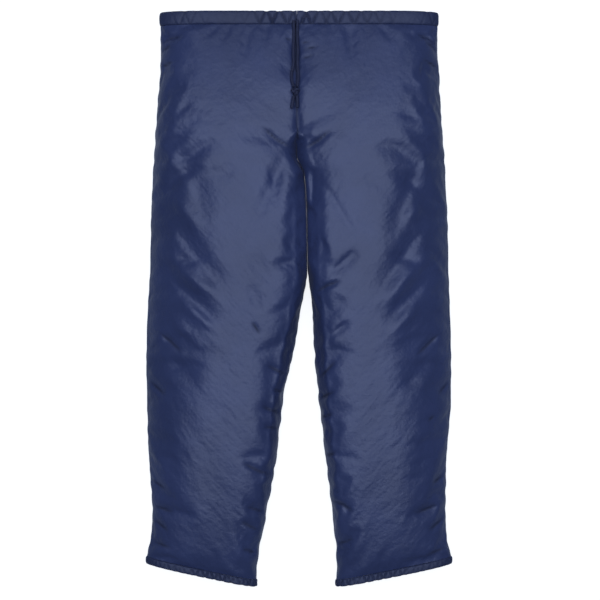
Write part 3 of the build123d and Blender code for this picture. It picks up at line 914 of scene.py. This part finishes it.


def casing_piece(name, path, outward, upright, height, thickness, depth_of, pitch, lean, seed):
    """A folded casing sewn along the shell's edge: a flat tube, puffed out between its tucks."""
    step = np.linalg.norm(np.diff(path, axis=0), axis=1)
    distance = np.concatenate([[0], np.cumsum(step)])
    around = np.arange(CASING_TURN + 1) / CASING_TURN * 2 * math.pi
    side_way, up_way = np.cos(around), np.sin(around)
    box_out = np.sign(side_way) * np.abs(side_way) ** CASING_SQUARENESS
    box_up = np.sign(up_way) * np.abs(up_way) ** CASING_SQUARENESS
    puff = gathers(distance[:, None], 0.5 + 0.5 * box_up[None, :], pitch, lean, seed)
    tuck = depth_of(path)[:, None]
    outer = np.clip(box_out, 0, 1)[None, :]
    low = np.clip(0.75 - 0.45 * box_up, 0, 1)[None, :]
    offset = box_out[None, :] * thickness / 2 - tuck * outer * low * (1 - puff)
    rise = height / 2 * (1 + box_up[None, :]) - tuck * 0.35 * (1 - puff) * np.clip(box_up, 0, 1)
    centre = path - outward * (thickness / 2 - CASING_OVERLAP)
    points = centre[:, None] + outward[:, None] * offset[..., None]
    points = points + np.asarray(upright) * rise[..., None]
    points[..., 2] = np.maximum(points[..., 2], 0.0003)
    mesh, row, column = grid_mesh(name, points)
    # painted shade: marks the bottoms of the tucks for darkening, more in deeper tucks and towards the
    # outer face
    crease_shade = (1 - puff) ** 2 * np.clip(tuck / FULLY_SHADED_TUCK, 0, 1) * np.sqrt(outer)
    mesh.attributes.new("crease_shade", "FLOAT", "POINT").data.foreach_set("value", crease_shade[row, column])
    bm = bmesh.new()
    bm.from_mesh(mesh)
    bmesh.ops.remove_doubles(bm, verts=bm.verts, dist=0.00001)
    loops = [e for e in bm.edges if e.is_boundary]
    bmesh.ops.holes_fill(bm, edges=loops, sides=0)
    bmesh.ops.recalc_face_normals(bm, faces=bm.faces)
    bm.to_mesh(mesh)
    bm.free()
    return finish_piece(name, dense(mesh), SHADED_CASING)


# Spacing of the tucks along each casing, how far they lean, and where their unevenness starts.
WAIST_PITCH, WAIST_LEAN = 0.0125, 0.9
BACK_PITCH, BACK_LEAN = 0.0170, 0.5
HEM_PITCH, HEM_LEAN = 0.0085, 0.6
WAIST_SEEDS = {"right": 1.7, "left": 2.9}
BACK_SEED = 4.1
HEM_SEEDS = {
    ("right", "front"): 3.943,
    ("right", "back"): 3.800,
    ("left", "front"): 3.800,
    ("left", "back"): 3.657,
}
WAIST_CASING_HEIGHT = 0.026
WAIST_CASING_DEPTH = 0.0085
HEM_CASING_HEIGHT = 0.014
HEM_CASING_DEPTH = 0.0062
WAIST_POINTS, BACK_POINTS, HEM_POINTS = 190, 120, 130


def waist_tuck(path):
    """Tucks are deepest at the centre front, where the cord gathers the waist."""
    x = path[:, 0] - CENTRE_X
    near = np.exp(-((x / 0.085) ** 2))
    uneven = 0.5 + 0.5 * np.sin(61 * x + 2 * np.sin(23 * x))
    return 0.0016 * uneven + (0.0020 * uneven + 0.0030) * near


def hem_tuck(path):
    """Tucks are deeper towards the inseam."""
    return 0.0010 + 0.0020 * (1 - ease(0.15, 0.27, np.abs(path[:, 0])))


def back_tuck(path):
    """Even, shallow tucks all along the back."""
    return np.full(len(path), 0.0016)


def make_casings():
    """The drawn-up casings of the waist and hems."""
    top = row_places("right")[0]
    for side in ("right", "left"):
        path, outward = edge_path(side, "front", top, np.linspace(0.0, 1.0, WAIST_POINTS))
        piece = casing_piece(
            f"gathered_waist_front_{side}", path, outward, (0, 1, 0), WAIST_CASING_HEIGHT,
            WAIST_CASING_DEPTH, waist_tuck, WAIST_PITCH, WAIST_LEAN, WAIST_SEEDS[side],
        )
        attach(piece, "seat")
        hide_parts(f"waist_casing_front_{side}")
    across = np.linspace(0.0, 1.0, BACK_POINTS)
    right, left = (edge_path(side, "back", top, across) for side in ("right", "left"))
    path, outward = (np.concatenate([a, b[::-1][1:]]) for a, b in zip(right, left))
    piece = casing_piece(
        "gathered_waist_back", path, outward, (0, 1, 0), WAIST_CASING_HEIGHT, WAIST_CASING_DEPTH,
        back_tuck, BACK_PITCH, BACK_LEAN, BACK_SEED,
    )
    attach(piece, "seat")
    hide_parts("waist_casing_back")
    for side in ("right", "left"):
        hem = row_places(side)[-1]
        for face in ("front", "back"):
            path, outward = edge_path(side, face, hem, np.linspace(0.0, 1.0, HEM_POINTS))
            piece = casing_piece(
                f"{side}_gathered_hem_{face}", path, outward, (0, -1, 0), HEM_CASING_HEIGHT,
                HEM_CASING_DEPTH, hem_tuck, HEM_PITCH, HEM_LEAN, HEM_SEEDS[side, face],
            )
            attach(piece, f"{side}_shin")
            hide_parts(f"{side}_hem_casing_{face}")


make_casings()


# ------------------------------------------------------------------ drawcord, metres
CORD_DIAMETER = 0.0052
RIGHT_STRAND = [
    (-0.0098, 0.519, 0.0529), (-0.0093, 0.486, 0.0631), (-0.0108, 0.458, 0.0733),
    (-0.0094, 0.432, 0.0827), (-0.0160, 0.410, 0.0870), (-0.0100, 0.390, 0.0959),
]
LEFT_STRAND = [
    (-0.0032, 0.519, 0.0529), (-0.0036, 0.486, 0.0631), (-0.0018, 0.458, 0.0733),
    (-0.0034, 0.432, 0.0827), (-0.0005, 0.410, 0.0870), (-0.0033, 0.390, 0.0959),
]
RIGHT_END = [(-0.0094, 0.374, 0.0959), (-0.0120, 0.362, 0.0956), (-0.0134, 0.351, 0.0976)]
LEFT_END = [(-0.0039, 0.374, 0.0959), (-0.0024, 0.362, 0.0956), (-0.0034, 0.352, 0.0974)]


def cord_curve(name, route):
    """A round cord on one smooth line through its route."""
    curve = bpy.data.curves.new(name, "CURVE")
    curve.dimensions = "3D"
    curve.resolution_u = 10
    curve.bevel_depth = CORD_DIAMETER / 2
    curve.bevel_resolution = 4
    curve.use_fill_caps = True
    spline = curve.splines.new("NURBS")
    spline.points.add(len(route) - 1)
    for point, place in zip(spline.points, route):
        point.co = (*place, 1)
    spline.order_u = 3
    spline.use_endpoint_u = True
    curve.materials.append(BRAID)
    piece = bpy.data.objects.new(name, curve)
    bpy.context.collection.objects.link(piece)
    return piece


KNOT_POINTS = 24


def make_knot():
    """An overhand knot of both strands: the cord's own width, wound through itself."""
    low, high = (Vector(corner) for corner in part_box("drawcord_knot"))
    centre, size = (low + high) / 2, high - low
    bend = CORD_DIAMETER / 2
    turns = []
    for k in range(KNOT_POINTS):
        t = k / KNOT_POINTS * 2 * math.pi
        turns.append((
            centre.x + (size.x / 2 - bend) * (math.sin(t) + 2 * math.sin(2 * t)) / 2.76,
            centre.y + (size.y / 2 - bend) * (math.cos(t) - 2 * math.cos(2 * t)) / 3.0,
            centre.z - (size.z / 2 - bend) * math.sin(3 * t),
        ))
    curve = bpy.data.curves.new("knot_path", "CURVE")
    curve.dimensions = "3D"
    curve.bevel_depth = bend
    curve.bevel_resolution = 4
    spline = curve.splines.new("NURBS")
    spline.points.add(len(turns) - 1)
    for point, place in zip(spline.points, turns):
        point.co = (*place, 1)
    spline.order_u = 3
    spline.use_cyclic_u = True
    path = bpy.data.objects.new("knot_path", curve)
    bpy.context.collection.objects.link(path)
    mesh = applied(path)
    bpy.data.objects.remove(path)
    mesh.name = "drawcord_overhand_knot"
    knot = finish_piece("drawcord_overhand_knot", mesh, BRAID)
    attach(knot, "drawcord_tails")
    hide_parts("drawcord_knot")
    return knot


def make_drawcord():
    """The two strands that hang from the waist, their knot and their short ends."""
    knot = make_knot()
    for side, route, end in (("right", RIGHT_STRAND, RIGHT_END), ("left", LEFT_STRAND, LEFT_END)):
        strand = cord_curve(f"drawcord_strand_{side}_braid", route)
        tip = cord_curve(f"drawcord_end_{side}_braid", end)
        for piece, node in ((strand, f"drawcord_strand_{side}"), (tip, f"drawcord_end_{side}")):
            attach(piece, "drawcord_tails")
            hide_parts(node)


make_drawcord()


# ------------------------------------------------------------------ CAD pieces that stay
for node, material in (
    ("drawcord_in_casing", BRAID),
    ("care_label", LABEL),
    ("right_hem_elastic", ELASTIC),
    ("left_hem_elastic", ELASTIC),
):
    for slot_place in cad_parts[node].material_slots:
        slot_place.material = material


# ------------------------------------------------------------------ floor, light and camera
def make_floor():
    """A wide pale floor that shows as white, and still takes a soft shadow."""
    material, tree, surface, node = shader("pale_floor")
    surface.inputs["Base Color"].default_value = (0.34, 0.40, 0.52, 1)
    surface.inputs["Roughness"].default_value = 0.9
    surface.inputs["Specular IOR Level"].default_value = 0.1
    rays = node("ShaderNodeLightPath")
    glow = node("ShaderNodeMath", {0: rays.outputs["Is Camera Ray"], 1: 0.84}, operation="MULTIPLY")
    tree.links.new(glow.outputs["Value"], surface.inputs["Emission Strength"])
    surface.inputs["Emission Color"].default_value = (1, 1, 1, 1)
    bm = bmesh.new()
    bmesh.ops.create_grid(bm, x_segments=2, y_segments=2, size=6)
    mesh = bpy.data.meshes.new("floor")
    bm.to_mesh(mesh)
    bm.free()
    mesh.materials.append(material)
    floor = bpy.data.objects.new("floor", mesh)
    bpy.context.collection.objects.link(floor)


def area_light(name, place, aim, size, power):
    """A round soft lamp at a place, aimed at a point."""
    lamp = bpy.data.lights.new(name, "AREA")
    lamp.shape = "DISK"
    lamp.size = size
    lamp.energy = power
    light = bpy.data.objects.new(name, lamp)
    light.location = place
    light.rotation_euler = (Vector(aim) - Vector(place)).to_track_quat("-Z", "Y").to_euler()
    light.visible_camera = False
    bpy.context.collection.objects.link(light)


VIEW_WIDTH = 1.1172         # width seen at the middle of the garment's thickness
MIDDLE_Z = 0.05


def make_camera():
    """Looks straight down, with the waist at the top of the view."""
    lens, sensor = 100.0, 36.0
    height = VIEW_WIDTH * lens / sensor
    camera = bpy.data.cameras.new("camera")
    camera.lens, camera.sensor_width = lens, sensor
    camera.clip_end = 20
    eye = bpy.data.objects.new("camera", camera)
    eye.location = (0.0018, -0.001, height + MIDDLE_Z)
    bpy.context.collection.objects.link(eye)
    bpy.context.scene.camera = eye


make_floor()
make_camera()
area_light("overhead", (0.0, 0.25, 3.4), (0, 0.1, 0), 4.2, 94)
area_light("waist_side", (0.0, 2.6, 2.0), (0, 0.1, 0), 1.6, 8)
world = bpy.data.worlds.new("room")
world.use_nodes = True
background = world.node_tree.nodes["Background"]
background.inputs["Color"].default_value = (1, 1, 1, 1)
background.inputs["Strength"].default_value = 0.10
bpy.context.scene.world = world
bpy.context.scene.view_settings.view_transform = "Standard"
